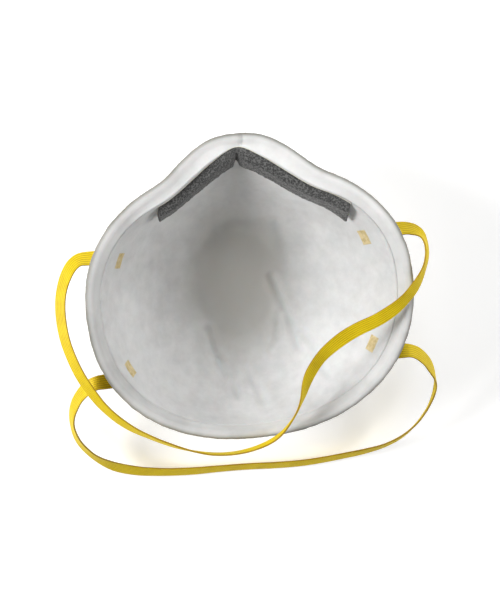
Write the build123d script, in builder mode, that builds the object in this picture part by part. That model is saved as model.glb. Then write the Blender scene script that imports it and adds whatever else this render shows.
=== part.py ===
"""Disposable dust mask: a moulded cup respirator with two elastic headbands.

Frame: millimetres.  The cup lies on its rounded front with the face opening up.
+Z leaves the opening towards the wearer's face, +Y points to the nose, and
+X is the side the wearer calls right.  z = 0 is the small flat on the front of the cup.
"""
import math
import os

from build123d import *

# ---------------------------------------------------------------- driving dimensions
WEB_OUTER = 0.5        # outer cover web
FILTER = 1.2           # filter web, under the cover web
SHELL = 1.0            # moulded inner shell, next to the face
SEAM_LEVEL = 0.91      # where the layers end and the crimped rim begins, as a share of the rim height

CLIP_THICK = 0.8       # soft aluminium nose strip
CLIP_GLUE = 0.15
FOAM_THICK = 3.2       # nose foam, left full thickness
FOAM_GLUE = 0.15

BAND_WIDTH = 6.0       # both headbands: flat elastic
BAND_THICK = 0.8
TAB_LENGTH = 6.0       # band end pressed flat on the outside of the cup
TAB_STAND = 0.15       # the loose band starts this far off the wall
WELD_LENGTH = 4.4      # fused core running through the layers
WELD_WIDTH = 5.0

# Band ends on the outside of the cup, right side: place, plan heading, wall slope (degrees)
ANCHORS = {
    "upper": ((51.7, 15.3, 31.3), 22.5, 59.5),
    "lower": ((51.5, -29.8, 36.5), -27.0, 65.5),
}

# Free run of each headband between its two ends, left to right: x, y, z and lean in degrees
# (0 lies flat, 90 stands on edge, upper edge towards the cup)
UPPER_RUN = [
    (-60.0, 17.5, 38.2, 30), (-68.0, 17.5, 38.2, 44), (-74.5, 5.5, 40.5, 52), (-75.0, -11.5, 44.0, 50),
    (-69.0, -29.5, 48.0, 48), (-58.0, -46.0, 48.0, 55), (-40.5, -58.0, 46.0, 68), (-18.0, -66.5, 46.5, 82),
    (4.0, -62.5, 50.5, 86), (15.5, -50.0, 52.0, 74), (21.0, -31.5, 52.5, 30), (35.5, -20.0, 53.0, 10),
    (52.0, -14.5, 53.5, 15), (64.0, -6.0, 52.5, 35), (71.5, 5.0, 48.0, 62), (72.5, 13.5, 42.5, 66),
    (68.0, 17.5, 38.2, 44), (60.0, 17.5, 38.2, 30),
]
LOWER_RUN = [
    (-58.0, -31.8, 42.0, 18), (-65.0, -31.8, 42.0, 40), (-71.5, -39.0, 35.5, 60), (-75.0, -50.5, 28.0, 78),
    (-70.0, -66.5, 17.0, 62), (-55.5, -79.0, 8.0, 35), (-32.0, -84.0, 3.8, 44), (-6.5, -84.5, 3.0, 50),
    (19.5, -86.5, 3.0, 50), (43.0, -84.5, 4.4, 52), (62.0, -79.5, 11.0, 60), (73.5, -66.0, 20.0, 72),
    (77.5, -50.0, 29.0, 82), (72.0, -38.5, 37.0, 50), (65.0, -31.8, 42.0, 40), (58.0, -31.8, 42.0, 18),
]

# Where the loose loop starts, mm from the middle plane: there the band runs straight sideways,
# so it turns on its own axis when the loop is lifted.  The part before it stays with the band end.
LOOP_START = {"upper": 63.5, "lower": 60.6}
LOOP_GAP = 0.15
ROOT_SPAN = {"upper": (8, 26), "lower": (-42, -22)}      # y range that holds the roots only

# Side profile of the rim, (y, z): nose side low, cheeks high, chin in between
RIM_PROFILE = [(-90, 38.0), (-60, 45.0), (-34, 48.8), (-8, 50.0), (30, 46.5), (60, 38.0), (90, 25.0)]

# Cup outlines from the front up: share of the rim height, half width, chin reach,
# cheek reach towards the nose, extra reach of the nose bridge, wall slope in degrees,
# roundness of the bridge (low is pinched)
LEVELS = [
    (0.00, 17.0, 28.0, 16.0, 0.0, 0, 2.0),
    (0.02, 21.0, 31.5, 19.0, 0.5, 16, 1.8),
    (0.06, 27.0, 36.0, 23.2, 1.4, 25, 1.6),
    (0.16, 35.0, 42.0, 28.8, 3.2, 37, 1.5),
    (0.30, 42.6, 47.3, 33.8, 5.1, 46, 1.35),
    (0.48, 49.8, 51.8, 38.0, 7.8, 53, 1.3),
    (0.66, 55.7, 55.3, 41.4, 10.6, 60, 1.3),
    (0.82, 59.6, 57.5, 44.0, 12.6, 67, 1.35),
    (0.91, 61.3, 58.4, 45.4, 13.2, 70, 1.4),
]
CREST = (1.00, 64.3, 60.0, 49.2, 11.4, 73, 2.3)

EGG_POWER = 2.2        # fullness of the outline
NOSE_HALF = 32.0       # half width of the nose bridge bulge at the rim
STEPS = 72             # points round one outline


def rim_height(y):
    """Height of the rim above the table at this y, along a smooth run through RIM_PROFILE."""
    pts = RIM_PROFILE
    for i in range(1, len(pts) - 2):
        (y0, z0), (y1, z1), (y2, z2), (y3, z3) = pts[i - 1:i + 3]
        if y <= y2 or i == len(pts) - 3:
            t = (y - y1) / (y2 - y1)
            m1 = (z2 - z0) / (y2 - y0) * (y2 - y1)
            m2 = (z3 - z1) / (y3 - y1) * (y2 - y1)
            return ((2 * t**3 - 3 * t**2 + 1) * z1 + (t**3 - 2 * t**2 + t) * m1
                    + (3 * t**2 - 2 * t**3) * z2 + (t**3 - t**2) * m2)


def outline_xy(level, angle, depth=0.0):
    """Plan position on one outline; angle -90 is the chin, +90 the nose, depth goes inwards."""
    share, half, chin, cheek, bridge, slope, roundness = level
    inset = depth * math.sin(math.radians(slope))
    half, chin, cheek = half - inset, chin - inset, cheek - inset
    c, s = math.cos(math.radians(angle)), math.sin(math.radians(angle))
    mid = -2.0
    x = half * math.copysign(abs(c) ** (2 / EGG_POWER), c)
    reach = cheek - mid if s > 0 else chin + mid
    y = mid + reach * math.copysign(abs(s) ** (2 / EGG_POWER), s)
    if s > 0:
        w = abs(x) / (NOSE_HALF * (half / 64.0) ** 0.6)
        if w < 1:
            y += bridge * (1 - w ** roundness) ** 1.5
    return x, y


def outline_point(level, angle, depth=0.0):
    x, y = outline_xy(level, angle, depth)
    lift = depth * math.cos(math.radians(level[5])) if level[0] > 0 else depth
    return Vector(x, y, level[0] * rim_height(y) + lift)


def outline_wire(level, depth):
    pts = [outline_point(level, -90 + 360 * i / STEPS, depth) for i in range(STEPS)]
    return Wire([Edge.make_spline(pts, periodic=True)])


def cup_body(depth):
    """Solid bowl bounded by the cup wall at this depth below its outer face, run on above the rim."""
    rings = [outline_wire(level, depth) for level in LEVELS]
    over = (1.0, 62.8, 59.2, 46.7, 13.0, 73, 1.6)
    rings.append(outline_wire(over, depth))
    cap = []
    for i in range(STEPS):
        x, y = outline_xy((1.4, 68.0, 61.5, 51.5, 12.5, 76, 2.4), -90 + 360 * i / STEPS, depth)
        cap.append(Vector(x, y, 72.0))
    rings.append(Wire([Edge.make_spline(cap, periodic=True)]))
    return Solid.make_loft(rings)


def region_above(share):
    """Everything above the surface that stands at this share of the rim height."""
    ys = [-80 + 5 * i for i in range(33)]
    with BuildPart() as region:
        with BuildSketch(Plane.YZ):
            with BuildLine():
                run = Spline(*[(y, share * rim_height(y)) for y in ys])
                Polyline(run @ 1, (80, 95), (-80, 95), run @ 0)
            make_face()
        extrude(amount=90, both=True)
    return region.part


FOAM_BACK = FOAM_GLUE + WEB_OUTER + FILTER + SHELL
DEPTHS = {
    "clip_face": -CLIP_GLUE - CLIP_THICK,
    "clip_back": -CLIP_GLUE,
    "cover": 0.0,
    "filter": WEB_OUTER,
    "shell": WEB_OUTER + FILTER,
    "inside": WEB_OUTER + FILTER + SHELL,
    "foam_back": FOAM_BACK,
    "foam_face": FOAM_BACK + FOAM_THICK,
}
ABOVE_SEAM = region_above(SEAM_LEVEL)
BOWL = {name: cup_body(depth) for name, depth in DEPTHS.items()}


def anchor_frame(key):
    """Frame on the cup wall: x along the rim, y up the wall, z out of the wall."""
    place, heading, slope = ANCHORS[key]
    h, a = math.radians(heading), math.radians(slope)
    out = Vector(math.cos(h) * math.sin(a), math.sin(h) * math.sin(a), -math.cos(a))
    return Plane(origin=place, x_dir=Vector(-math.sin(h), math.cos(h), 0), z_dir=out)


def weld_core(key):
    """Block right through the layers where the band end is fused to them."""
    with BuildPart() as core:
        with BuildSketch(anchor_frame(key).offset(-5)):
            Rectangle(WELD_WIDTH, WELD_LENGTH)
        extrude(amount=7)
    return core.part


CORES = [weld_core(key) for key in ANCHORS]
CORES += [mirror(core, about=Plane.YZ) for core in CORES]


def strip_on_nose(rows, half):
    """Region standing in front of the nose side: rows are (x, low z, high z) from left to right."""
    with BuildPart() as strip:
        with BuildSketch(Plane.XZ):
            with BuildLine():
                low = [(x, lo) for x, lo, hi in rows]
                high = [(x, hi) for x, lo, hi in rows]
                Polyline(*low, *reversed(high), close=True)
            make_face()
        extrude(amount=-half)
    return strip.part


FOAM_STRIP = strip_on_nose(
    [(-33, 30.0, 39.4), (-16, 30.6, 37.4), (0, 30.8, 36.6), (16, 31.0, 38.2), (30, 32.0, 40.6), (43, 33.4, 42.4)], 75)
CLIP_STRIP = strip_on_nose(
    [(-39, 30.5, 34.6), (-16, 28.8, 33.0), (0, 28.5, 32.8), (16, 28.8, 33.0), (39, 30.5, 34.6)], 75)


def layer(outer, inner):
    """One layer of the cup wall, open where the four welds pass through it."""
    solid = BOWL[outer] - BOWL[inner] - ABOVE_SEAM
    for core in CORES:
        solid = solid - core
    return solid


with BuildPart() as outer_cover_web:
    add(layer("cover", "filter"))

with BuildPart() as filter_media:
    add(layer("filter", "shell"))

with BuildPart() as inner_shell:
    add(layer("shell", "inside"))

def rim_section(angle):
    """One cross-section of the crimped, outward-rolled rim."""
    foot_out = outline_point(LEVELS[-1], angle)
    foot_in = outline_point(LEVELS[-1], angle, DEPTHS["shell"])
    foot_in = Vector(foot_in.X, foot_in.Y, SEAM_LEVEL * rim_height(foot_in.Y))
    crest = outline_point(CREST, angle)
    before, after = (outline_xy(CREST, angle + d) for d in (-0.5, 0.5))
    out = Vector(after[1] - before[1], before[0] - after[0], 0).normalized()
    up = Vector(0, 0, 1)
    lip = [(-1.7, -2.2), (-0.4, -2.6), (0.8, -1.9), (1.0, -0.8), (0.1, 0.0), (-1.5, -0.3)]
    return [foot_out] + [crest + out * a + up * b for a, b in lip] + [foot_in]


with BuildPart() as edge_seal:
    for start in (-90, 90):
        sections = [Wire.make_polygon(rim_section(start + 5 * i), close=True) for i in range(37)]
        add(Solid.make_loft(sections))


with BuildPart() as nose_clip_adhesive:
    add(BOWL["clip_back"])
    add(CLIP_STRIP, mode=Mode.INTERSECT)
    add(BOWL["cover"], mode=Mode.SUBTRACT)

with BuildPart() as nose_clip:
    add(BOWL["clip_face"])
    add(CLIP_STRIP, mode=Mode.INTERSECT)
    add(BOWL["clip_back"], mode=Mode.SUBTRACT)

with BuildPart() as nose_foam_adhesive:
    add(BOWL["inside"])
    add(FOAM_STRIP, mode=Mode.INTERSECT)
    add(BOWL["foam_back"], mode=Mode.SUBTRACT)

with BuildPart() as nose_foam:
    add(BOWL["foam_back"])
    add(FOAM_STRIP, mode=Mode.INTERSECT)
    add(BOWL["foam_face"], mode=Mode.SUBTRACT)


def band_route(key, run, lead):
    """Points and leans of a headband from the left band end round to the right one."""
    frame = anchor_frame(key)
    stand = TAB_STAND + BAND_THICK / 2
    top = frame.from_local_coords((0, TAB_LENGTH / 2, stand))
    bend = frame.from_local_coords((0, TAB_LENGTH / 2 + lead, stand))
    left = [(-top.X, top.Y, top.Z, 0), (-bend.X, bend.Y, bend.Z, 0)]
    right = [(bend.X, bend.Y, bend.Z, 0), (top.X, top.Y, top.Z, 0)]
    return left + run + right


def band(route):
    """Flat strip with a plain rectangular section swept along the route."""
    pts = [Vector(x, y, z) for x, y, z, lean in route]
    radii = []
    for before, here, after in zip(pts, pts[1:], pts[2:]):
        arm_in, arm_out = here - before, after - here
        half_turn = math.radians(arm_in.get_angle(arm_out)) / 2
        radii.append(0.45 * min(arm_in.length, arm_out.length) / math.tan(half_turn))
    print("bend radii", [round(r, 1) for r in radii])
    with BuildLine() as line:
        FilletPolyline(*pts, radius=radii)
    wire = line.wires()[0]
    legs = [(b - a).length for a, b in zip(pts, pts[1:])]
    marks = [sum(legs[:i]) / sum(legs) for i in range(len(pts))]
    count = int(wire.length / 1.5)
    sections = []
    for i in range(count + 1):
        t = i / count
        here, along = wire.position_at(t), wire.tangent_at(t).normalized()
        k = max(j for j in range(len(marks) - 1) if marks[j] <= t + 1e-9)
        w = min(1.0, (t - marks[k]) / (marks[k + 1] - marks[k]))
        w = w * w * (3 - 2 * w)
        lean = math.radians(route[k][3] * (1 - w) + route[k + 1][3] * w)
        inward = Vector(0, 0, 1).cross(along).normalized()
        across = inward * math.cos(lean) + along.cross(inward) * math.sin(lean)
        side, face = across * (BAND_WIDTH / 2), across.cross(along) * (BAND_THICK / 2)
        sections.append(Wire.make_polygon(
            [here + side + face, here + side - face, here - side - face, here - side + face], close=True))
    solid = Solid.make_loft(sections)
    print("band length", round(wire.length, 1), "volume over section", round(solid.volume / (BAND_WIDTH * BAND_THICK), 1))
    return solid


BANDS = {
    "upper": band(band_route("upper", UPPER_RUN, 5.0)),
    "lower": band(band_route("lower", LOWER_RUN, 3.2)),
}


def root_region(key, start, stop):
    """Block from one x to another that holds the root of a band."""
    y_low, y_high = ROOT_SPAN[key]
    with BuildPart() as region:
        with Locations(((start + stop) / 2, (y_low + y_high) / 2, 38)):
            Box(stop - start, y_high - y_low, 30)
    return region.part


def right_end(key):
    """Flattened band end with its fused core through the layers, and the root of the band above it."""
    frame = anchor_frame(key)
    with BuildPart() as tab:
        with BuildSketch(frame.offset(-1.0)):
            Rectangle(BAND_WIDTH, TAB_LENGTH)
        extrude(amount=1.0 + TAB_STAND + BAND_THICK)
        add(BOWL["cover"], mode=Mode.SUBTRACT)
    with BuildPart() as core:
        add(weld_core(key))
        add(BOWL["cover"], mode=Mode.INTERSECT)
        add(BOWL["inside"], mode=Mode.SUBTRACT)
    return tab.part + core.part + (BANDS[key] & root_region(key, 0, LOOP_START[key]))


with BuildPart() as upper_anchor_right:
    add(right_end("upper"))

with BuildPart() as upper_anchor_left:
    add(mirror(upper_anchor_right.part, about=Plane.YZ))

with BuildPart() as lower_anchor_right:
    add(right_end("lower"))

with BuildPart() as lower_anchor_left:
    add(mirror(lower_anchor_right.part, about=Plane.YZ))

with BuildPart() as upper_headband:
    add(BANDS["upper"])
    add(root_region("upper", -LOOP_START["upper"] - LOOP_GAP, LOOP_START["upper"] + LOOP_GAP), mode=Mode.SUBTRACT)

with BuildPart() as lower_headband:
    add(BANDS["lower"])
    add(root_region("lower", -LOOP_START["lower"] - LOOP_GAP, LOOP_START["lower"] + LOOP_GAP), mode=Mode.SUBTRACT)

pieces = {
    "outer_cover_web": outer_cover_web,
    "filter_media": filter_media,
    "inner_shell": inner_shell,
    "edge_seal": edge_seal,
    "nose_clip": nose_clip,
    "nose_clip_adhesive": nose_clip_adhesive,
    "nose_foam": nose_foam,
    "nose_foam_adhesive": nose_foam_adhesive,
    "upper_anchor_left": upper_anchor_left,
    "upper_anchor_right": upper_anchor_right,
    "lower_anchor_left": lower_anchor_left,
    "lower_anchor_right": lower_anchor_right,
    "upper_headband": upper_headband,
    "lower_headband": lower_headband,
}

os.makedirs("parts", exist_ok=True)
for name, piece in pieces.items():
    piece.part.label = name
    export_step(piece.part, f"parts/{name}.step")
    box = piece.part.bounding_box()
    print(name, round(piece.part.volume), piece.part.is_valid, len(piece.part.solids()),
          [round(v, 1) for v in (*box.min, *box.max)])
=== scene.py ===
"""Looks for a disposable dust mask lying on its front: cup, rim, nose foam, nose strip and headbands."""
import math

import bmesh
import bpy
from mathutils import Matrix, Vector, noise
from mathutils.bvhtree import BVHTree


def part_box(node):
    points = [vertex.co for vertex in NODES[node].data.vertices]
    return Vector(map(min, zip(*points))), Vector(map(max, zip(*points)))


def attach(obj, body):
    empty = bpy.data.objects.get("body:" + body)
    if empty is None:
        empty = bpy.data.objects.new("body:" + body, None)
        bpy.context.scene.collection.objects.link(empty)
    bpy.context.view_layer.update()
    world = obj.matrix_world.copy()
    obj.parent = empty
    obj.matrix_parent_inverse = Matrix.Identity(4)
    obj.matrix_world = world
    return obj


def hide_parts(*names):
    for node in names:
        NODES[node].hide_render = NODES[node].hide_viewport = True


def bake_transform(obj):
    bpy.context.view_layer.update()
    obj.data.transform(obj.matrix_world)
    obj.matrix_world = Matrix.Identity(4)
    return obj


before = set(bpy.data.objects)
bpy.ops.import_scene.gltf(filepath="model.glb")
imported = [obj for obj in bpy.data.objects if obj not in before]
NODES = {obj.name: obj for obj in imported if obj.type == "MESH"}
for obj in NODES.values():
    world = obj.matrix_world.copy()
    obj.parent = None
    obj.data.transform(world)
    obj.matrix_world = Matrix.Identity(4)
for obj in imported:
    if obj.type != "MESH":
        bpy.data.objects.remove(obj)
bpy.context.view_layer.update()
MM = 0.001
UP = Vector((0, 0, 1))
TURN = 2 * math.pi


# ------------------------------------------------------------------------------- camera
CAM_DISTANCE = 0.750
CAM_TARGET = Vector((0.44, -5.12, 40.0)) * MM
CAM_SIDE, CAM_TILT, CAM_ROLL = math.radians(-7.1), math.radians(12.0), math.radians(-4.2)

back = Vector((math.sin(CAM_SIDE), math.sin(CAM_TILT), 0))
back.z = math.sqrt(1 - back.length_squared)
top = (Vector((0, 1, 0)) - back * back.y).normalized()
right = top.cross(back)
cam_x = right * math.cos(CAM_ROLL) + top * math.sin(CAM_ROLL)
cam_y = top * math.cos(CAM_ROLL) - right * math.sin(CAM_ROLL)
camera = bpy.data.objects.new("camera", bpy.data.cameras.new("camera"))
bpy.context.scene.collection.objects.link(camera)
camera.matrix_world = Matrix.Translation(CAM_TARGET + back * CAM_DISTANCE) @ Matrix(
    (cam_x, cam_y, back)).transposed().to_4x4()
camera.data.sensor_width = 36.0
camera.data.lens = 113.2
camera.data.clip_end = 20.0
bpy.context.scene.camera = camera


# ------------------------------------------------------------------------------- helpers
def new_mesh(name, verts, faces, smooth=True):
    mesh = bpy.data.meshes.new(name)
    mesh.from_pydata([tuple(v) for v in verts], [], faces)
    mesh.validate()
    obj = bpy.data.objects.new(name, mesh)
    bpy.context.scene.collection.objects.link(obj)
    bm = bmesh.new()
    bm.from_mesh(mesh)
    bmesh.ops.recalc_face_normals(bm, faces=bm.faces)
    bm.to_mesh(mesh)
    bm.free()
    if smooth:
        mesh.polygons.foreach_set("use_smooth", [True] * len(mesh.polygons))
    return obj


def tube_faces(rows, cols, closed_rows=False):
    """Quads between rings of equal length; each ring closes on itself."""
    faces = []
    for i in range(rows if closed_rows else rows - 1):
        n = (i + 1) % rows
        for j in range(cols):
            k = (j + 1) % cols
            faces.append((i * cols + j, i * cols + k, n * cols + k, n * cols + j))
    return faces


def mesh_tree(*objects):
    """Search tree over the faces of some objects."""
    verts, faces = [], []
    for obj in objects:
        mesh = obj.data
        base = len(verts)
        verts += [v.co.copy() for v in mesh.vertices]
        faces += [[base + i for i in p.vertices] for p in mesh.polygons]
    return BVHTree.FromPolygons(verts, faces)


def node_tree(*names):
    return mesh_tree(*(NODES[name] for name in names))


def smoothstep(t):
    """0 below 0, 1 above 1, eased between."""
    t = min(1.0, max(0.0, t))
    return t * t * (3 - 2 * t)


def mix(a, b, t):
    return a * (1 - t) + b * t


def wobble(p, size, seed):
    """Smooth noise from about -1 to 1, size in metres."""
    return noise.noise(p / size + Vector((seed * 7.13, seed * 3.71, seed * 5.37)))


# ------------------------------------------------------------------------------- headbands
BAND_WIDTH, BAND_THICK = 6.0 * MM, 0.8 * MM
RIBS = 7                           # threads across a band
CORE = 0.62                        # a band's thickness between its ribs, as a share of the whole
ROW_SPACING = 0.7 * MM             # distance between two sections of a band
TAB_STAND, TAB_LENGTH = 0.15, 6.0  # mm: gap under a flattened end, and its length

# Each band end: its place on the right wall (mm), its heading and the wall's slope (degrees)
ANCHORS = {
    "upper": ((51.7, 15.3, 31.3), 22.5, 59.5),
    "lower": ((51.5, -29.8, 36.5), -27.0, 65.5),
}

# Control points of the loops: x, y, z (mm) and lean (degrees, 0 is flat and 90 is on edge)
UPPER_RUN = [
    (-60.0, 17.5, 38.2, 30), (-68.0, 17.5, 38.2, 44), (-74.5, 5.5, 40.5, 52), (-75.0, -11.5, 44.0, 50),
    (-69.0, -29.5, 48.0, 48), (-58.0, -46.0, 48.0, 55), (-40.5, -58.0, 46.0, 68), (-18.0, -66.5, 46.5, 82),
    (4.0, -62.5, 50.5, 86), (15.5, -50.0, 52.0, 74), (21.0, -31.5, 52.5, 30), (35.5, -20.0, 53.0, 10),
    (52.0, -14.5, 53.5, 15), (64.0, -6.0, 52.5, 35), (71.5, 5.0, 48.0, 62), (72.5, 13.5, 42.5, 66),
    (68.0, 17.5, 38.2, 44), (60.0, 17.5, 38.2, 30),
]
LOWER_RUN = [
    (-58.0, -31.8, 42.0, 18), (-65.0, -31.8, 42.0, 40), (-71.5, -39.0, 35.5, 60), (-75.0, -50.5, 28.0, 78),
    (-70.0, -66.5, 17.0, 62), (-55.5, -79.0, 8.0, 35), (-32.0, -84.0, 3.8, 44), (-6.5, -84.5, 3.0, 50),
    (19.5, -86.5, 3.0, 50), (43.0, -84.5, 4.4, 52), (62.0, -79.5, 11.0, 60), (73.5, -66.0, 20.0, 72),
    (77.5, -50.0, 29.0, 82), (72.0, -38.5, 37.0, 50), (65.0, -31.8, 42.0, 40), (58.0, -31.8, 42.0, 18),
]
LEADS = {"upper": 5.0, "lower": 3.2}                # mm straight on from a flattened end


def anchor_axes(key, side):
    """Place and axes of a band end on the cup wall: along the rim, up the wall, out of the wall."""
    place, heading, slope = ANCHORS[key]
    h, a = math.radians(heading), math.radians(slope)
    out = Vector((side * math.cos(h) * math.sin(a), math.sin(h) * math.sin(a), -math.cos(a)))
    along = Vector((-side * math.sin(h), math.cos(h), 0))
    up = out.cross(along) * side
    return Vector((side * place[0], place[1], place[2])) * MM, along, up, out


def band_points(key, run):
    """Control points of a band from one flattened end to the other, and its lean at each."""
    stand = TAB_STAND * MM + BAND_THICK / 2
    ends = []
    for side in (-1, 1):
        place, along, up, out = anchor_axes(key, side)
        near = place + up * (TAB_LENGTH / 2 * MM) + out * stand
        ends.append((near, near + up * LEADS[key] * MM))
    middle = [Vector(p[:3]) * MM for p in run]
    points = [ends[0][0], ends[0][1]] + middle + [ends[1][1], ends[1][0]]
    leans = [0, 0] + [p[3] for p in run] + [0, 0]
    return points, leans


def band_route(key, points):
    """Points along the smooth line of a headband, read from a curve of one open spline."""
    curve = bpy.data.curves.new(key + "_route", "CURVE")
    curve.dimensions = "3D"
    spline = curve.splines.new("NURBS")
    spline.points.add(len(points) - 1)
    for target, p in zip(spline.points, points):
        target.co = (*p, 1)
    spline.order_u = 3
    spline.use_endpoint_u = True
    spline.resolution_u = 24
    holder = bpy.data.objects.new(key + "_route", curve)
    bpy.context.scene.collection.objects.link(holder)
    bpy.context.view_layer.update()
    line = bpy.data.meshes.new_from_object(holder)
    path = [v.co.copy() for v in line.vertices]
    bpy.data.objects.remove(holder)
    bpy.data.meshes.remove(line)
    return path


def band_section():
    """Closed cross-section of the ribbed elastic: across and thickness, in metres."""
    half, thick, count = BAND_WIDTH / 2, BAND_THICK / 2, 42
    upper = []
    for i in range(count + 1):
        s = -1 + 2 * i / count
        rib = abs(math.sin(math.pi * (s + 1) / 2 * RIBS)) ** 0.6
        round_off = (1 - abs(s) ** 14) ** 0.5
        upper.append((s * half, (thick * CORE + 0.15 * MM * rib) * round_off))
    return upper + [(x, -t) for x, t in reversed(upper[1:-1])]


def keep_ribs(obj, section):
    """Stores how high each point of a band stands on its rib; the material paints the low parts between ribs darker and
    the rib tops lighter, as painted shade and painted highlight.
    """
    tall = max(h for x, h in section)
    layer = obj.data.attributes.new("rib", "FLOAT", "POINT")
    ribs = [min(1.0, max(0.0, abs(h) / tall - CORE) / (1 - CORE)) for x, h in section]
    layer.data.foreach_set("value", [ribs[k % len(section)] for k in range(len(obj.data.vertices))])
    return obj


def ribbon(name, path, leans_at):
    """Ribbed band swept along a path; leans_at gives its lean at a share of the path's length."""
    section = band_section()
    keep, last = [0], 0
    for i in range(1, len(path)):
        if (path[i] - path[last]).length >= ROW_SPACING or i == len(path) - 1:
            keep.append(i)
            last = i
    marks = [0.0]
    for a, b in zip(path, path[1:]):
        marks.append(marks[-1] + (b - a).length)
    total = marks[-1]
    verts = []
    for i in keep:
        ahead, behind = path[min(i + 2, len(path) - 1)], path[max(i - 2, 0)]
        along = (ahead - behind).normalized()
        inward = UP.cross(along).normalized()
        t = marks[i] / total
        lean = math.radians(leans_at(t))
        across = inward * math.cos(lean) + along.cross(inward) * math.sin(lean)
        face = across.cross(along)
        soft = 0.12 * MM * wobble(path[i], 9 * MM, 3) * min(1, 12 * t, 12 * (1 - t))
        for x, h in section:
            nap = 0.018 * MM * wobble(path[i] + across * x, 0.7 * MM, 5)
            verts.append(path[i] + across * x + face * (h + soft + nap))
    rows, cols = len(keep), len(section)
    faces = tube_faces(rows, cols)
    faces.append(tuple(reversed(range(cols))))
    faces.append(tuple((rows - 1) * cols + j for j in range(cols)))
    return keep_ribs(new_mesh(name, verts, faces), section)


def leans_from(points, leans):
    """Function that gives the lean at a share of the length, eased between the control points."""
    legs = [(b - a).length for a, b in zip(points, points[1:])]
    marks = [sum(legs[:i]) / sum(legs) for i in range(len(points))]

    def at(t):
        k = max(j for j in range(len(marks) - 1) if marks[j] <= t + 1e-9)
        return mix(leans[k], leans[k + 1], smoothstep((t - marks[k]) / (marks[k + 1] - marks[k])))
    return at


bands = {}
for key, run in (("upper", UPPER_RUN), ("lower", LOWER_RUN)):
    points, leans = band_points(key, run)
    path = band_route(key, points)
    band = ribbon(key + "_band", path, leans_from(points, leans))
    bands[key] = band
    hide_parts(key + "_headband")
    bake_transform(band)


# ------------------------------------------------------------------------------- cup surfaces
COLS, ROWS = 400, 110               # points round each ring, and rings up the wall
EYE = Vector((0, -3, 50)) * MM     # the point inside the cup that the rings are cast from
REACH = 0.2                        # metres that a cast may go


def cup_grid(tree, from_outside):
    """Rings of points on the cup wall, from the middle of the front up to the seam."""
    tops = []

    def cast(azimuth, rise):
        way = Vector((math.cos(azimuth) * math.cos(rise), math.sin(azimuth) * math.cos(rise), math.sin(rise)))
        if from_outside:
            hit = tree.ray_cast(EYE + way * REACH, -way, REACH)
        else:
            hit = tree.ray_cast(EYE, way, REACH)
        return hit[0]

    for j in range(COLS):
        a = TURN * j / COLS
        low, high = math.radians(-60), math.radians(10)
        for _ in range(24):
            middle = (low + high) / 2
            if cast(a, middle) is None:
                high = middle
            else:
                low = middle
        tops.append(low)
    tops = [sum(tops[(j + d) % COLS] for d in (-1, 0, 1)) / 3 - 0.0004 for j in range(COLS)]
    rings = []
    for i in range(1, ROWS + 1):
        ring = []
        for j in range(COLS):
            rise = mix(-math.pi / 2, tops[j], (i / ROWS) ** 0.92)
            ring.append(cast(TURN * j / COLS, rise))
        rings.append(ring)
    for ring in rings:
        for j, p in enumerate(ring):
            if p is None:
                around = [q for d in range(1, 9) for q in (ring[j - d], ring[(j + d) % COLS])]
                ring[j] = sum([q for q in around if q is not None][:2], Vector()) / 2
    for _ in range(6):
        for i in range(1, ROWS - 1):
            old = rings[i]
            rings[i] = [old[j] * 0.4 + (old[j - 1] + old[(j + 1) % COLS] + rings[i - 1][j] + rings[i + 1][j]) * 0.15
                        for j in range(COLS)]
    return rings


def ring_normals(rings):
    """Outward normals of the wall."""
    out = []
    for i, ring in enumerate(rings):
        lower, upper = rings[max(i - 1, 0)], rings[min(i + 1, len(rings) - 1)]
        row = []
        for j in range(len(ring)):
            around = ring[(j + 1) % len(ring)] - ring[j - 1]
            row.append(around.cross(upper[j] - lower[j]).normalized())
        out.append(row)
    return out


def shell_piece(name, face, other):
    """Closed thin shell from two matching sets of rings, joined over the top edge."""
    verts = [p for ring in face for p in ring] + [p for ring in other for p in ring]
    rows, cols = len(face), len(face[0])
    faces = tube_faces(rows, cols) + [
        tuple(i + rows * cols for i in reversed(f)) for f in tube_faces(rows, cols)]
    last, base = (rows - 1) * cols, rows * cols
    for j in range(cols):
        k = (j + 1) % cols
        faces.append((last + j, last + k, base + last + k, base + last + j))
    for start, ring in ((0, face[0]), (base, other[0])):
        verts.append(sum(ring, Vector()) / cols)
        hub = len(verts) - 1
        faces += [(hub, start + (j + 1) % cols, start + j) for j in range(cols)]
    return new_mesh(name, verts, faces)


inner_rings = cup_grid(node_tree("inner_shell", "upper_anchor_left", "upper_anchor_right",
                                 "lower_anchor_left", "lower_anchor_right"), False)
outer_rings = cup_grid(node_tree("outer_cover_web"), True)
inner_out = ring_normals(inner_rings)
outer_out = ring_normals(outer_rings)

CREASE_GAIN, SOFT_GAIN = 1.35, 0.55
INNER_THICK, OUTER_THICK = 0.9, 0.45     # mm

# Soft creases of the inner shell, in plan: points (mm), half width (mm), depth (mm)
CREASES = [
    ([(15, -4), (19, -16), (22, -27), (23, -33)], 1.5, 0.60),
    ([(17, -20), (15, -31), (12, -35)], 1.4, 0.40),
    ([(25, -28), (30, -34), (31, -41)], 1.6, 0.45),
    ([(-14, -24), (-12, -33), (-9, -42)], 1.4, 0.60),
    ([(-10, -36), (-6, -41), (-5, -48)], 1.3, 0.45),
    ([(-20, -36), (-15, -44), (-13, -50)], 1.5, 0.30),
    ([(1, -40), (5, -50)], 1.6, 0.30),
    ([(-13, 12), (-8, 19), (2, 22), (17, 19)], 2.4, 0.40),
    ([(-18, 10), (-20, -4), (-16, -18)], 3.2, 0.40),
    ([(18, 19), (21, 8), (22, -2)], 2.6, 0.35),
]


def leg_distance(x, y, a, b):
    """Distance in plan from a point to the straight line between a and b."""
    run, rise = b[0] - a[0], b[1] - a[1]
    t = max(0.0, min(1.0, ((x - a[0]) * run + (y - a[1]) * rise) / (run ** 2 + rise ** 2)))
    return math.hypot(x - a[0] - t * run, y - a[1] - t * rise)


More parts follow.
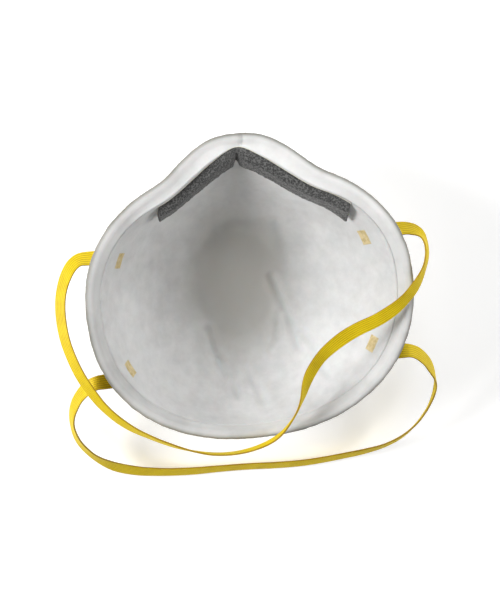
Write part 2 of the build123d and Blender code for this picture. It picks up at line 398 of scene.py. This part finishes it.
def crease_depth(p):
    """Depth of the creases at a point, in mm, with a low ridge beside each."""
    x, y, total = p.x / MM, p.y / MM, 0.0
    for points, width, depth in CREASES:
        best = min(leg_distance(x, y, a, b) for a, b in zip(points, points[1:]))
        if best < 4 * width:
            groove = math.exp(-(best / width) ** 2)
            ridge = math.exp(-((best - 2 * width) / width) ** 2)
            total += depth * (groove - 0.35 * ridge)
    return total


inner_face = []
for i, (ring, outs) in enumerate(zip(inner_rings, inner_out)):
    edge = smoothstep((ROWS - 1 - i) / 8)
    row = []
    for p, n in zip(ring, outs):
        soft = 0.30 * wobble(p, 16 * MM, 1) + 0.13 * wobble(p, 6 * MM, 2) + 0.05 * wobble(p, 2.4 * MM, 4)
        row.append(p + n * (CREASE_GAIN * crease_depth(p) + SOFT_GAIN * soft) * MM * edge)
    inner_face.append(row)
inner_back = [[p + n * INNER_THICK * MM for p, n in zip(ring, outs)] for ring, outs in zip(inner_rings, inner_out)]
inner_piece = shell_piece("inner_web", inner_face, inner_back)

outer_face = []
for i, (ring, outs) in enumerate(zip(outer_rings, outer_out)):
    edge = smoothstep((ROWS - 1 - i) / 6)
    row = []
    for p, n in zip(ring, outs):
        soft = 0.16 * wobble(p, 12 * MM, 11) + 0.08 * wobble(p, 4.5 * MM, 12) + 0.04 * wobble(p, 2 * MM, 13)
        lift = soft * edge * MM * smoothstep(p.z / (4 * MM))     # the bottom stays flat on the table
        row.append(p + n * min(lift, 0.1 * MM))
    outer_face.append(row)
outer_back = [[p - n * OUTER_THICK * MM for p, n in zip(ring, outs)] for ring, outs in zip(outer_rings, outer_out)]
outer_piece = shell_piece("outer_web", outer_face, outer_back)

for piece, node, slot in ((inner_piece, "inner_shell", "inner_web"), (outer_piece, "outer_cover_web", "cover_web")):
    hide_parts(node)
    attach(piece, "mask")


# ------------------------------------------------------------------------------- rolled rim
FOLD_X, FOLD_RISE, FOLD_DIP = 1.2, 0.30, 0.55      # lap at the middle of the nose, mm

# Section of the lip, from the flange over the crest and under: out from the crest and up from it, mm
LIP = [
    (-2.6, -0.75), (-1.2, -0.18), (-0.4, 0.0), (0.25, -0.10), (0.72, -0.48), (0.93, -1.05), (0.86, -1.65),
    (0.45, -2.15), (-0.15, -2.42), (-0.8, -2.35), (-1.5, -2.15),
]


def rim_crest():
    """Highest line of the rim, all the way round."""
    tree = node_tree("edge_seal")
    crest = []
    for j in range(COLS):
        a = TURN * j / COLS
        way = Vector((math.cos(a), math.sin(a), 0))
        inner = (outer_rings[-1][j] - EYE).to_2d().length
        best = None
        for k in range(60):
            spot = EYE + way * (inner + (k - 8) * 0.2 * MM)
            hit = tree.ray_cast(Vector((spot.x, spot.y, 0.08)), -UP, 0.08)[0]
            if hit is not None and (best is None or hit.z > best.z):
                best = hit
        crest.append(best)
    for _ in range(10):
        crest = [(crest[j - 1] + crest[j] * 2 + crest[(j + 1) % COLS]) / 4 for j in range(COLS)]
    return crest


def rim_piece():
    """Flange from the inner wall up to the crest, and the lip rolled over it down to the outer wall."""
    crest = rim_crest()
    verts = []
    for j in range(COLS):
        c, foot_in, foot_out = crest[j], inner_rings[-1][j], outer_rings[-1][j]
        out = (crest[(j + 1) % COLS] - crest[j - 1]).cross(UP).normalized()
        n_in = inner_out[-1][j]
        crimp = 0.10 * wobble(c, 2.2 * MM, 21) + 0.22 * wobble(c, 9 * MM, 22)
        lap = 0.0
        if c.y > 0:
            x = c.x / MM - FOLD_X
            lap = FOLD_RISE * smoothstep((x + 7) / 6) if x < 0 else -FOLD_DIP * smoothstep((5 - x) / 5)
        points = [foot_out + UP * -0.4 * MM - outer_out[-1][j] * 0.3 * MM,
                  foot_in + n_in * 1.0 * MM - UP * 0.5 * MM,
                  foot_in + n_in * 0.75 * MM - UP * 0.2 * MM,
                  foot_in + n_in * 0.42 * MM + UP * 0.1 * MM]
        start = foot_in + n_in * 0.15 * MM + UP * 0.55 * MM
        end = c + out * LIP[0][0] * MM + UP * LIP[0][1] * MM
        bow = (start + end) / 2 + out * 0.25 * MM - UP * 0.35 * MM
        for k in range(9):
            t = k / 8
            p = start * (1 - t) ** 2 + bow * 2 * t * (1 - t) + end * t * t
            points.append(p + UP * (crimp * 0.5 * math.sin(math.pi * t) + lap * smoothstep(2 * t)) * MM)
        for k, (a, b) in enumerate(LIP[1:]):
            rag = 0.16 * wobble(c, 1.6 * MM, 23) * (1 if 3 <= k <= 8 else 0)
            points.append(c + out * (a + rag + 0.4 * crimp) * MM + UP * (b + 0.5 * crimp + lap) * MM)
        points.append(mix(points[-1], foot_out, 0.5) + UP * -0.25 * MM)
        points.append(foot_out + UP * 0.05 * MM + outer_out[-1][j] * 0.12 * MM)
        verts += points
    cols = len(verts) // COLS
    made = new_mesh("rolled_rim", verts, tube_faces(COLS, cols, closed_rows=True))
    # The fused value marks the outer lip, which the rim material paints darker as painted shade.
    first = cols - len(LIP) - 1
    layer = made.data.attributes.new("fused", "FLOAT", "POINT")
    layer.data.foreach_set("value", [smoothstep((k % cols - first) / 3) for k in range(len(verts))])
    return made


rim = rim_piece()
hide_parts("edge_seal")
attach(rim, "mask")


# ------------------------------------------------------------------------------- nose foam and strip
def slab_from_node(name, node, from_front, columns, rows, shape):
    """Rounded slab that fills a strip-like CAD node.

    shape(u, v, point) gives the share of the node's thickness, with u and v from -1 to 1.
    """
    tree = node_tree(node)
    low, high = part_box(node)
    inset, z_step = 0.25 * MM, 0.05 * MM

    def hit_at(x, z, back_face):
        start = Vector((x, 0.12 if back_face else 0.0, z))
        return tree.ray_cast(start, Vector((0, -1 if back_face else 1, 0)), 0.15)[0]

    front, rear = [], []
    for i in range(columns + 1):
        u = -1 + 2 * i / columns
        x = mix(low.x + inset, high.x - inset, (u + 1) / 2)
        zs = [low.z + k * z_step for k in range(int((high.z - low.z) / z_step) + 1)]
        inside = [z for z in zs if hit_at(x, z, False) is not None]
        z0, z1 = min(inside) + 0.1 * MM, max(inside) - 0.1 * MM
        f_col, r_col = [], []
        for k in range(rows + 1):
            v = -1 + 2 * k / rows
            z = mix(z0, z1, (v + 1) / 2)
            f_col.append(hit_at(x, z, False))
            r_col.append(hit_at(x, z, True))
        front.append(f_col)
        rear.append(r_col)
    for grid in (front, rear):
        for _ in range(4):
            for i in range(1, columns):
                grid[i] = [(grid[i - 1][k] + grid[i][k] * 2 + grid[i + 1][k]) / 4 for k in range(rows + 1)]
    verts = []
    for i in range(columns + 1):
        u = -1 + 2 * i / columns
        for k in range(rows + 1):
            v = -1 + 2 * k / rows
            s = shape(u, v, front[i][k])
            f, r = front[i][k], rear[i][k]
            verts.append(mix(r, f, s) if from_front else mix(f, r, s))
    base = len(verts)
    for i in range(columns + 1):
        for k in range(rows + 1):
            verts.append(rear[i][k] if from_front else front[i][k])
    w = rows + 1
    faces = []
    for i in range(columns):
        for k in range(rows):
            a = i * w + k
            faces.append((a, a + 1, a + 1 + w, a + w))
            faces.append((base + a, base + a + w, base + a + 1 + w, base + a + 1))
    border = [i * w for i in range(columns + 1)] + [columns * w + k for k in range(1, w)]
    border += [i * w + rows for i in range(columns - 1, -1, -1)] + list(range(rows - 1, 0, -1))
    for a, b in zip(border, border[1:] + border[:1]):
        faces.append((a, base + a, base + b, b))
    return new_mesh(name, verts, faces)


def foam_shape(u, v, p):
    """Rounded edges, the sharp fold at the middle, and the open cells of the foam."""
    side = (1 - abs(v) ** 8) ** 0.35
    end = (1 - abs(u) ** 90) ** 0.35
    groove = math.exp(-(p.x / (0.9 * MM)) ** 2)
    swell = math.exp(-((abs(p.x) - 3.5 * MM) / (2 * MM)) ** 2)
    fold = 1 - 0.55 * groove + 0.06 * swell
    cell = 0.045 * wobble(p, 0.55 * MM, 31) + 0.05 * wobble(p, 1.4 * MM, 32) + 0.05 * wobble(p, 6 * MM, 33)
    return max(0.12, 0.97 * side * end * fold + cell)


def strip_shape(u, v, p):
    """Rounded edges and small unevenness of the metal strip."""
    side = (1 - abs(v) ** 10) ** 0.4
    end = (1 - abs(u) ** 160) ** 0.4
    return max(0.35, side * end) * (1 + 0.03 * wobble(p, 5 * MM, 41))


foam = slab_from_node("foam_strip", "nose_foam", True, 190, 26, foam_shape)
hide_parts("nose_foam")
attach(foam, "mask")

strip = slab_from_node("nose_strip", "nose_clip", False, 150, 12, strip_shape)
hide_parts("nose_clip")
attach(strip, "mask")


# ------------------------------------------------------------------------------- band ends and welds
inner_tree, outer_tree = mesh_tree(inner_piece), mesh_tree(outer_piece)
DOT_PITCH, MARK_PITCH = 0.8, 0.85      # mm between the dots of a weld, outside and inside
MARK_HALF, MARK_STEP = (3.5, 2.8), 0.12    # mm: half size of a mark inside, and its grid


def weld_dots(x, y, pitch):
    return max(0.0, math.cos(x * TURN / pitch) * math.cos(y * TURN / pitch))


def band_end(name, key, side):
    """Ribbed band end pressed flat on the outside of the cup, with the dotted weld across it."""
    place, along, up, out = anchor_axes(key, side)
    section = band_section()
    rows = 44
    verts = []
    for i in range(rows + 1):
        t = i / rows
        reach = (t - 0.5) * TAB_LENGTH * MM
        start = place + up * reach
        wall = outer_tree.ray_cast(start + out * 6 * MM, -out, 0.012)[0]
        gap = (wall - start).dot(out) if wall is not None else 0.0
        lift = mix(gap + 0.32 * MM, TAB_STAND * MM + BAND_THICK / 2, smoothstep((t - 0.70) / 0.30))
        for x, h in section:
            local = start + along * x
            wall = outer_tree.ray_cast(local + out * 6 * MM, -out, 0.012)[0]
            base = (wall - local).dot(out) if wall is not None else gap
            pressed = (smoothstep((1.9 * MM - abs(reach + 0.3 * MM)) / (0.5 * MM))
                       * smoothstep((2.5 * MM - abs(x)) / (0.4 * MM)))
            dots = weld_dots(x / MM, reach / MM, DOT_PITCH)
            if h > 0:
                height = h * (1 - 0.55 * pressed) - 0.10 * MM * dots * pressed
            else:
                height = max(h, -0.25 * MM) if t < 0.75 else h
            follow = mix(base - gap, 0.0, smoothstep((t - 0.70) / 0.30))
            verts.append(local + out * (lift + follow + height))
    cols = len(section)
    faces = tube_faces(rows + 1, cols)
    faces.append(tuple(reversed(range(cols))))
    faces.append(tuple(rows * cols + j for j in range(cols)))
    return keep_ribs(new_mesh(name, verts, faces), section)


def weld_mark(name, key, side):
    """Dotted mark pressed into the inner face where the band end is fused through."""
    place, along, up, out = anchor_axes(key, side)
    (across, tall), step = MARK_HALF, MARK_STEP
    nx, ny = int(2 * across / step), int(2 * tall / step)
    verts, fade = [], []
    for i in range(ny + 1):
        for j in range(nx + 1):
            x, y = -across + j * step, -tall + i * step
            local = place + along * x * MM + up * y * MM
            hit = inner_tree.ray_cast(local - out * 8 * MM, out, 0.02)[0]
            edge = min(1.0, (across - abs(x)) / 0.5, (tall - abs(y)) / 0.5)
            dots = weld_dots(x, y, MARK_PITCH)
            rise = 0.10 - 0.16 * (1 - smoothstep(edge)) + 0.09 * dots * smoothstep(edge)
            verts.append(hit - out * rise * MM)
            ragged = edge + 0.35 * wobble(hit, 0.9 * MM, 51)
            fade.append(smoothstep(ragged) * (0.92 + 0.08 * wobble(hit, 1.3 * MM, 52)))
    w = nx + 1
    faces = [(i * w + j, i * w + j + 1, (i + 1) * w + j + 1, (i + 1) * w + j)
             for i in range(ny) for j in range(nx)]
    count = len(verts)
    verts += [v + out * 0.3 * MM for v in verts]
    fade += fade
    faces += [tuple(count + k for k in reversed(f)) for f in faces]
    loop = list(range(w)) + [i * w + nx for i in range(1, ny + 1)]
    loop += [ny * w + j for j in range(nx - 1, -1, -1)] + [i * w for i in range(ny - 1, 0, -1)]
    for a, b in zip(loop, loop[1:] + loop[:1]):
        faces.append((a, b, count + b, count + a))
    mark = new_mesh(name, verts, faces)
    layer = mark.data.attributes.new("fade", "FLOAT", "POINT")
    layer.data.foreach_set("value", fade)
    return mark


band_ends, weld_marks = [], []
for key in ("upper", "lower"):
    for side, word in ((-1, "left"), (1, "right")):
        end = band_end(f"{key}_band_end_{word}", key, side)
        mark = weld_mark(f"{key}_weld_mark_{word}", key, side)
        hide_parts(f"{key}_anchor_{word}")
        for piece in (end, mark):
            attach(piece, "mask")
        band_ends.append(end)
        weld_marks.append(mark)


# ------------------------------------------------------------------------------- materials
class Shader:
    """Small helper for building a node material."""

    def __init__(self, name):
        self.material = bpy.data.materials.new(name)
        self.material.use_nodes = True
        self.nodes = self.material.node_tree.nodes
        self.links = self.material.node_tree.links
        self.main = self.nodes["Principled BSDF"]
        self.coords = self.nodes.new("ShaderNodeTexCoord").outputs["Object"]

    def set(self, **values):
        for key, value in values.items():
            self.main.inputs[key.replace("_", " ")].default_value = value

    def node(self, kind, inputs=(), **settings):
        made = self.nodes.new(kind)
        for key, value in settings.items():
            setattr(made, key, value)
        for key, value in dict(inputs).items():
            if isinstance(value, bpy.types.NodeSocket):
                self.links.new(value, made.inputs[key])
            else:
                made.inputs[key].default_value = value
        return made

    def noise(self, scale, detail=3.0, rough=0.55, stretch=None, turn=(0, 0, 0)):
        vector = self.coords
        if stretch is not None:
            vector = self.node("ShaderNodeMapping", {"Vector": vector, "Rotation": turn,
                                                     "Scale": stretch}).outputs[0]
        return self.node("ShaderNodeTexNoise", {"Vector": vector, "Scale": scale, "Detail": detail,
                                                "Roughness": rough}).outputs["Fac"]

    def math(self, operation, a, b=0.0):
        return self.node("ShaderNodeMath", {0: a, 1: b}, operation=operation).outputs[0]

    def ramp(self, fac, stops):
        made = self.node("ShaderNodeValToRGB", {"Fac": fac})
        ramp = made.color_ramp
        while len(ramp.elements) < len(stops):
            ramp.elements.new(0.5)
        for element, (at, colour) in zip(ramp.elements, stops):
            element.position = at
            element.color = (*colour, 1)
        return made.outputs["Color"]

    def blend(self, share, first, second):
        return self.node("ShaderNodeMixRGB", {"Fac": share, "Color1": first, "Color2": second}).outputs[0]

    def stored(self, name):
        """Value kept on the mesh by the code that made it."""
        return self.node("ShaderNodeAttribute", attribute_name=name).outputs["Fac"]

    def colour(self, socket):
        self.links.new(socket, self.main.inputs["Base Color"])

    def rough(self, value, low, high):
        spread = self.node("ShaderNodeMapRange", {"Value": value, "To Min": low, "To Max": high})
        self.links.new(spread.outputs[0], self.main.inputs["Roughness"])

    def bump(self, height, strength, distance):
        made = self.node("ShaderNodeBump", {"Height": height, "Strength": strength, "Distance": distance})
        self.links.new(made.outputs[0], self.main.inputs["Normal"])

    def fibres(self):
        """Fine fibres lying in all directions."""
        lie = [((1, 9, 9), (0.3, 0.2, 0.5)), ((9, 1, 9), (0.5, -0.4, 0.9)), ((9, 9, 1), (-0.6, 0.3, 0.2)),
               ((1, 8, 8), (0.1, 0.9, -0.8))]
        total = None
        for stretch, turn in lie:
            n = self.noise(420, 2.0, 0.5, stretch=stretch, turn=turn)
            ridge = self.math("ABSOLUTE", self.math("SUBTRACT", n, 0.5))
            total = ridge if total is None else self.math("ADD", total, ridge)
        return self.math("MULTIPLY", total, 2.2)


def nonwoven(name, dark, light, strength, pressed=None):
    """Cloudy nonwoven with fine fibres; pressed is the tone of a painted shade, a darker patch on the front panel deep
    in the cup.
    """
    s = Shader(name)
    s.set(Roughness=0.9, Sheen_Weight=0.25, Sheen_Roughness=0.6, Specular_IOR_Level=0.25,
          Subsurface_Weight=0.12, Subsurface_Scale=0.002)
    cloud = s.noise(160, 4.0, 0.6)
    patch = s.noise(35, 3.0, 0.5)
    blend = s.math("ADD", s.math("MULTIPLY", cloud, 0.6), s.math("MULTIPLY", patch, 0.4))
    colour = s.ramp(blend, [(0.36, dark), (0.62, light)])
    # Painted shade: an oval patch on the deep front panel is blended to the darker pressed tone.
    if pressed is not None:
        place = s.node("ShaderNodeMapping", {"Vector": s.coords, "Location": (-0.04, 0.08, 0),
                                             "Scale": (44, 29, 30)}).outputs[0]
        far = s.node("ShaderNodeVectorMath", {0: place}, operation="LENGTH").outputs["Value"]
        ragged = s.math("ADD", far, s.math("MULTIPLY", s.math("SUBTRACT", patch, 0.5), 0.5))
        share = s.node("ShaderNodeMapRange", {"Value": ragged, "From Min": 0.35, "From Max": 1.35,
                                              "To Min": 1.0, "To Max": 0.0}, interpolation_type="SMOOTHSTEP").outputs[0]
        colour = s.blend(share, colour, (*pressed, 1))
    s.colour(colour)
    height = s.math("ADD", s.fibres(), s.math("MULTIPLY", s.noise(900, 3.0, 0.6), 0.5))
    s.bump(height, strength, 0.0002)
    return s.material


# The inner web's pressed tone is painted shade on the front panel deep in the cup.
MAT_INNER = nonwoven("inner_nonwoven", (0.55, 0.55, 0.548), (0.66, 0.66, 0.658), 0.35,
                     pressed=(0.475, 0.465, 0.437))
MAT_COVER = nonwoven("cover_nonwoven", (0.56, 0.56, 0.553), (0.70, 0.70, 0.693), 0.45)
MAT_FILTER = nonwoven("filter_nonwoven", (0.80, 0.80, 0.79), (0.88, 0.88, 0.88), 0.30)


def rim_material():
    s = Shader("crimped_rim")
    s.set(Specular_IOR_Level=0.35, Sheen_Weight=0.12, Subsurface_Weight=0.08, Subsurface_Scale=0.002)
    patch = s.noise(60, 4.0, 0.6)
    flange = s.ramp(patch, [(0.30, (0.68, 0.68, 0.67)), (0.62, (0.82, 0.82, 0.815))])
    lip = s.ramp(patch, [(0.30, (0.15, 0.146, 0.122)), (0.66, (0.27, 0.265, 0.238))])
    # Painted shade: the rim is greyer away from the nose; painted light makes the flange lighter near the nose.
    rim_painted_shade = s.ramp(patch, [(0.30, (0.49, 0.49, 0.482)), (0.62, (0.61, 0.61, 0.602))])
    up_the_face = s.node("ShaderNodeSeparateXYZ", {"Vector": s.coords}).outputs["Y"]
    nose_painted_light = s.node("ShaderNodeMapRange", {"Value": up_the_face, "From Min": 0.008, "From Max": 0.032},
                       interpolation_type="SMOOTHSTEP").outputs[0]
    flange = s.blend(nose_painted_light, rim_painted_shade, flange)
    # Painted shade: the outer lip, marked fused, is painted much darker than the flange.
    fused = s.stored("fused")
    s.colour(s.blend(fused, flange, lip))
    s.rough(s.noise(240, 2.0), 0.62, 0.85)
    press = s.noise(700, 2.0, 0.5)
    s.bump(s.math("ADD", press, s.math("MULTIPLY", s.fibres(), 0.6)), 0.35, 0.0002)
    return s.material


def elastic_material():
    s = Shader("yellow_elastic")
    s.set(Specular_IOR_Level=0.30)
    rib = s.stored("rib")
    rib_shade_and_tone = s.math("ADD", s.math("MULTIPLY", rib, 0.55), s.math("MULTIPLY", s.noise(140, 3.0, 0.6), 0.45))
    # Painted shade in the grooves between ribs and painted highlight on the rib tops, with random tone from the noise.
    s.colour(s.ramp(rib_shade_and_tone, [(0.22, (0.34, 0.20, 0.0)), (0.45, (0.58, 0.40, 0.0)),
                             (0.75, (0.76, 0.57, 0.002))]))
    s.rough(s.noise(500, 2.0), 0.42, 0.62)
    s.bump(s.noise(1600, 2.0, 0.6), 0.25, 0.0001)
    return s.material


def foam_material():
    s = Shader("dark_foam")
    s.set(Roughness=0.95, Specular_IOR_Level=0.2, Sheen_Weight=0.3, Sheen_Roughness=0.5)
    cells = s.node("ShaderNodeTexVoronoi", {"Vector": s.coords, "Scale": 1500.0}).outputs["Distance"]
    speck = s.noise(1100, 2.0, 0.7)
    tone = s.math("ADD", s.math("MULTIPLY", cells, 0.55), s.math("MULTIPLY", speck, 0.55))
    s.colour(s.ramp(tone, [(0.30, (0.028, 0.028, 0.028)), (0.52, (0.060, 0.060, 0.059)),
                           (0.72, (0.14, 0.14, 0.137))]))
    s.bump(tone, 0.8, 0.0003)
    return s.material


def strip_material():
    s = Shader("brushed_strip")
    s.set(Metallic=1.0)
    grain = s.noise(300, 3.0, 0.6, stretch=(0.12, 3, 6))
    s.colour(s.ramp(grain, [(0.35, (0.58, 0.59, 0.60)), (0.65, (0.74, 0.75, 0.76))]))
    s.rough(grain, 0.28, 0.46)
    s.bump(s.math("ADD", grain, s.math("MULTIPLY", s.noise(60), 1.5)), 0.12, 0.0002)
    return s.material


def weld_material():
    s = Shader("weld_mark")
    s.set(Specular_IOR_Level=0.4, Roughness=0.5)
    fade = s.stored("fade")
    tint = s.ramp(s.noise(450, 3.0, 0.6), [(0.35, (0.46, 0.34, 0.12)), (0.60, (0.66, 0.53, 0.27))])
    s.colour(s.blend(fade, (0.60, 0.60, 0.59, 1), tint))
    s.bump(s.noise(800, 3.0), 0.3, 0.0001)
    return s.material


def adhesive_material():
    s = Shader("hot_melt")
    s.set(Roughness=0.35, Specular_IOR_Level=0.5)
    s.colour(s.ramp(s.noise(300), [(0.35, (0.66, 0.62, 0.50)), (0.65, (0.78, 0.76, 0.68))]))
    s.bump(s.noise(500), 0.3, 0.0002)
    return s.material


def floor_material():
    s = Shader("pale_table")
    s.set(Roughness=0.7, Specular_IOR_Level=0.2, Emission_Color=(1, 1, 1, 1), Emission_Strength=0.22)
    s.colour(s.ramp(s.noise(12), [(0.3, (0.95, 0.95, 0.95)), (0.7, (0.97, 0.97, 0.97))]))
    return s.material


def dress(obj, material):
    """Puts a material in every slot of an object, or adds its first."""
    if obj.material_slots:
        for slot in obj.material_slots:
            slot.material = material
    else:
        obj.data.materials.append(material)


MAT_RIM, MAT_ELASTIC, MAT_ADHESIVE = rim_material(), elastic_material(), adhesive_material()
MAT_WELD = weld_material()
for obj, material in ((inner_piece, MAT_INNER), (outer_piece, MAT_COVER), (rim, MAT_RIM), (foam, foam_material()),
                      (strip, strip_material()), (bands["upper"], MAT_ELASTIC), (bands["lower"], MAT_ELASTIC),
                      (NODES["filter_media"], MAT_FILTER), (NODES["nose_clip_adhesive"], MAT_ADHESIVE),
                      (NODES["nose_foam_adhesive"], MAT_ADHESIVE)):
    dress(obj, material)
for piece in band_ends:
    dress(piece, MAT_ELASTIC)
for piece in weld_marks:
    dress(piece, MAT_WELD)


# ------------------------------------------------------------------------------- floor and lights
floor = new_mesh("table", [(-3, -3, 0), (3, -3, 0), (3, 3, 0), (-3, 3, 0)], [(0, 1, 2, 3)], smooth=False)
floor.location.z = -0.0002
dress(floor, floor_material())


LIGHT_SIZE = 0.5                   # metres
LIGHT_AIM = Vector((0, 0, 0.02))


def soft_light(name, place, power):
    """Square area light that looks at the mask."""
    lamp = bpy.data.lights.new(name, "AREA")
    lamp.shape, lamp.size, lamp.energy = "SQUARE", LIGHT_SIZE, power
    obj = bpy.data.objects.new(name, lamp)
    bpy.context.scene.collection.objects.link(obj)
    obj.location = place
    obj.rotation_mode = "QUATERNION"
    obj.rotation_quaternion = (LIGHT_AIM - Vector(place)).to_track_quat("-Z", "Y")


soft_light("key", (-1.15, 0.2, 0.70), 18.0)
soft_light("back", (0.1, 1.05, 0.72), 7.4)
soft_light("side", (1.1, 0.1, 0.62), 6.5)
soft_light("front", (0.1, -1.1, 0.8), 2.4)
world = bpy.data.worlds.new("studio")
bpy.context.scene.world = world
world.use_nodes = True
background = world.node_tree.nodes["Background"]
background.inputs["Color"].default_value = (1, 1, 1, 1)
background.inputs["Strength"].default_value = 0.16
bpy.context.scene.view_settings.view_transform = "Standard"
